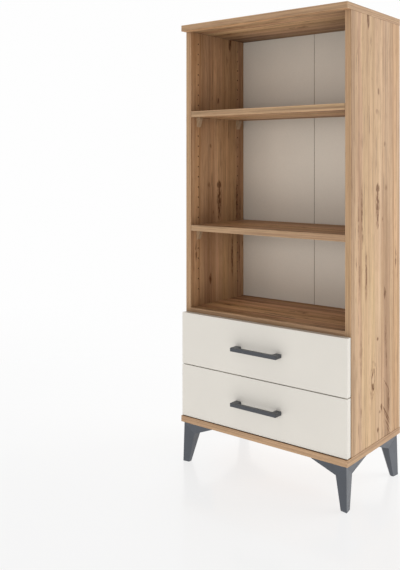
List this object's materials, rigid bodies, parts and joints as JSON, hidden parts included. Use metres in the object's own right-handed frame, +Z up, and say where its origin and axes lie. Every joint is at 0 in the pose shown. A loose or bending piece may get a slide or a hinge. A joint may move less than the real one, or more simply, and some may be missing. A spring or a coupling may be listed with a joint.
{
  "type": "bookcase with drawers",
  "caption": "Tall narrow bookcase in oak decor with open shelves above overlay drawers, square-bar handles and flared anthracite corner legs.",
  "frame": {"origin": "on the floor under the middle of the whole object, handles included", "axes": "+Z up, +Y towards the wall behind, +X to the right as seen from the front"},
  "size_m": [0.57, 0.355, 1.346],
  "materials": {
    "oak_decor": "matt melamine with rustic oak grain",
    "front_board": "smooth silk-matt cream foil",
    "back_board": "thin hardboard, cream lacquered face",
    "box_board": "pale melamine-faced board",
    "seam_tape": "kraft paper tape",
    "clear_plastic": "milky moulded plastic",
    "dowel_wood": "fluted beech",
    "leg_plastic": "fine-textured anthracite moulding",
    "handle_metal": "satin anthracite powder coat",
    "slide_steel": "zinc-plated sheet",
    "ball_steel": "polished balls in steel strips",
    "zinc_hardware": "zinc plated"
  },
  "bodies": {
    "carcass": {"top_panel": "oak_decor", "base_panel": "oak_decor", "left_side_panel": "oak_decor", "right_side_panel": "oak_decor", "drawer_deck": "oak_decor", "upper_shelf": "oak_decor", "lower_shelf": "oak_decor", "back_panel_left": "back_board", "back_panel_right": "back_board", "back_seam_tape": "seam_tape", "upper_shelf_supports": "clear_plastic", "lower_shelf_supports": "clear_plastic", "carcass_dowels": "dowel_wood", "carcass_screws": "zinc_hardware", "deck_cam_locks": "zinc_hardware", "deck_cam_bolts": "zinc_hardware", "leg_front_left": "leg_plastic", "leg_front_right": "leg_plastic", "leg_back_left": "leg_plastic", "leg_back_right": "leg_plastic", "leg_screws": "zinc_hardware", "cabinet_rail_screws": "zinc_hardware", "upper_left_cabinet_rail": "slide_steel", "upper_right_cabinet_rail": "slide_steel", "lower_left_cabinet_rail": "slide_steel", "lower_right_cabinet_rail": "slide_steel"},
    "upper_drawer": {"upper_drawer_front": "front_board", "upper_drawer_left_side": "box_board", "upper_drawer_right_side": "box_board", "upper_drawer_back": "box_board", "upper_drawer_bottom": "back_board", "upper_handle": "handle_metal", "upper_handle_screws": "zinc_hardware", "upper_left_drawer_rail": "slide_steel", "upper_right_drawer_rail": "slide_steel", "upper_drawer_rail_screws": "zinc_hardware", "upper_drawer_cam_locks": "zinc_hardware", "upper_drawer_cam_bolts": "zinc_hardware", "upper_drawer_back_screws": "zinc_hardware"},
    "upper_middle_rails": {"upper_left_middle_rail": "slide_steel", "upper_right_middle_rail": "slide_steel"},
    "upper_outer_cages": {"upper_outer_ball_cages": "ball_steel"},
    "upper_inner_cages": {"upper_inner_ball_cages": "ball_steel"},
    "lower_drawer": {"lower_drawer_front": "front_board", "lower_drawer_left_side": "box_board", "lower_drawer_right_side": "box_board", "lower_drawer_back": "box_board", "lower_drawer_bottom": "back_board", "lower_handle": "handle_metal", "lower_handle_screws": "zinc_hardware", "lower_left_drawer_rail": "slide_steel", "lower_right_drawer_rail": "slide_steel", "lower_drawer_rail_screws": "zinc_hardware", "lower_drawer_cam_locks": "zinc_hardware", "lower_drawer_cam_bolts": "zinc_hardware", "lower_drawer_back_screws": "zinc_hardware"},
    "lower_middle_rails": {"lower_left_middle_rail": "slide_steel", "lower_right_middle_rail": "slide_steel"},
    "lower_outer_cages": {"lower_outer_ball_cages": "ball_steel"},
    "lower_inner_cages": {"lower_inner_ball_cages": "ball_steel"}
  },
  "joints": [
    {"name": "upper_drawer_slide", "type": "slide", "parent": "carcass", "child": "upper_drawer", "axis": [0, -1, 0], "range_m": [0, 0.25]},
    {"name": "upper_middle_rails_slide", "type": "slide", "parent": "carcass", "child": "upper_middle_rails", "axis": [0, -1, 0], "range_m": [0, 0.125]},
    {"name": "upper_outer_cages_slide", "type": "slide", "parent": "carcass", "child": "upper_outer_cages", "axis": [0, -1, 0], "range_m": [0, 0.0625]},
    {"name": "upper_inner_cages_slide", "type": "slide", "parent": "carcass", "child": "upper_inner_cages", "axis": [0, -1, 0], "range_m": [0, 0.1875]},
    {"name": "lower_drawer_slide", "type": "slide", "parent": "carcass", "child": "lower_drawer", "axis": [0, -1, 0], "range_m": [0, 0.25]},
    {"name": "lower_middle_rails_slide", "type": "slide", "parent": "carcass", "child": "lower_middle_rails", "axis": [0, -1, 0], "range_m": [0, 0.125]},
    {"name": "lower_outer_cages_slide", "type": "slide", "parent": "carcass", "child": "lower_outer_cages", "axis": [0, -1, 0], "range_m": [0, 0.0625]},
    {"name": "lower_inner_cages_slide", "type": "slide", "parent": "carcass", "child": "lower_inner_cages", "axis": [0, -1, 0], "range_m": [0, 0.1875]}
  ],
  "couplings": [
    {"joint": "upper_middle_rails_slide", "follows": "upper_drawer_slide", "ratio": 0.5},
    {"joint": "upper_outer_cages_slide", "follows": "upper_drawer_slide", "ratio": 0.25},
    {"joint": "upper_inner_cages_slide", "follows": "upper_drawer_slide", "ratio": 0.75},
    {"joint": "lower_middle_rails_slide", "follows": "lower_drawer_slide", "ratio": 0.5},
    {"joint": "lower_outer_cages_slide", "follows": "lower_drawer_slide", "ratio": 0.25},
    {"joint": "lower_inner_cages_slide", "follows": "lower_drawer_slide", "ratio": 0.75}
  ]
}
